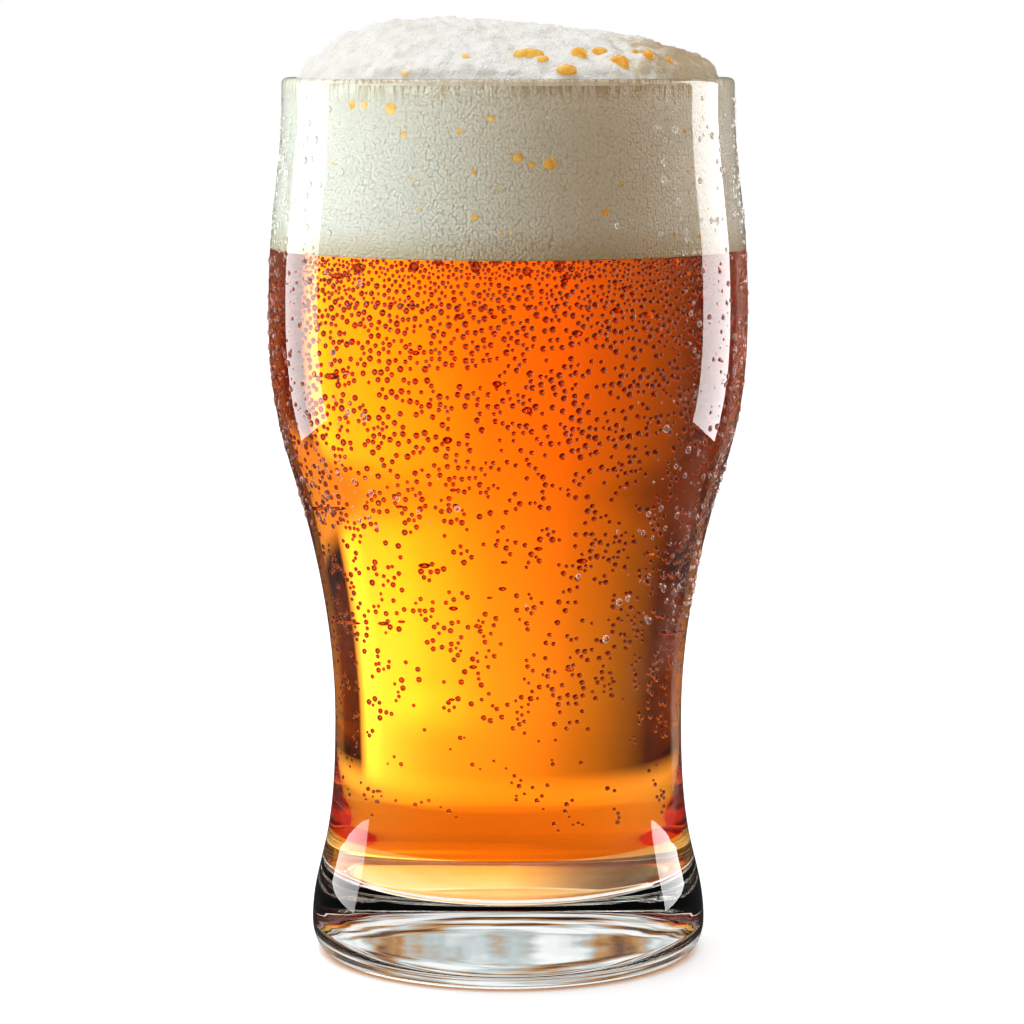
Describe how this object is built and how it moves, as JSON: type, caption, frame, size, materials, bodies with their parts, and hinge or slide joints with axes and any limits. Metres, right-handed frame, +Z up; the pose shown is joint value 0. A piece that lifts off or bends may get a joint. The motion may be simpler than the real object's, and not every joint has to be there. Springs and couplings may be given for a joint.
{
  "type": "pint of beer",
  "caption": "Tulip pint glass on a heavy clear foot, filled with golden amber beer under a deep cream head of foam that stands above the rim in an uneven crown.",
  "frame": {"origin": "centre of the foot, on the surface that the glass stands on", "axes": "+Z up along the axis of the glass; the foam's peak leans towards -X"},
  "size_m": [0.087, 0.087, 0.1702],
  "materials": {
    "glass": "clear toughened soda-lime glass, fire polished",
    "beer": "clear golden amber liquid with fine bubbles",
    "foam": "wet cream foam"
  },
  "bodies": {
    "root": {"glass": "glass", "beer": "beer", "foam": "foam"}
  },
  "joints": []
}
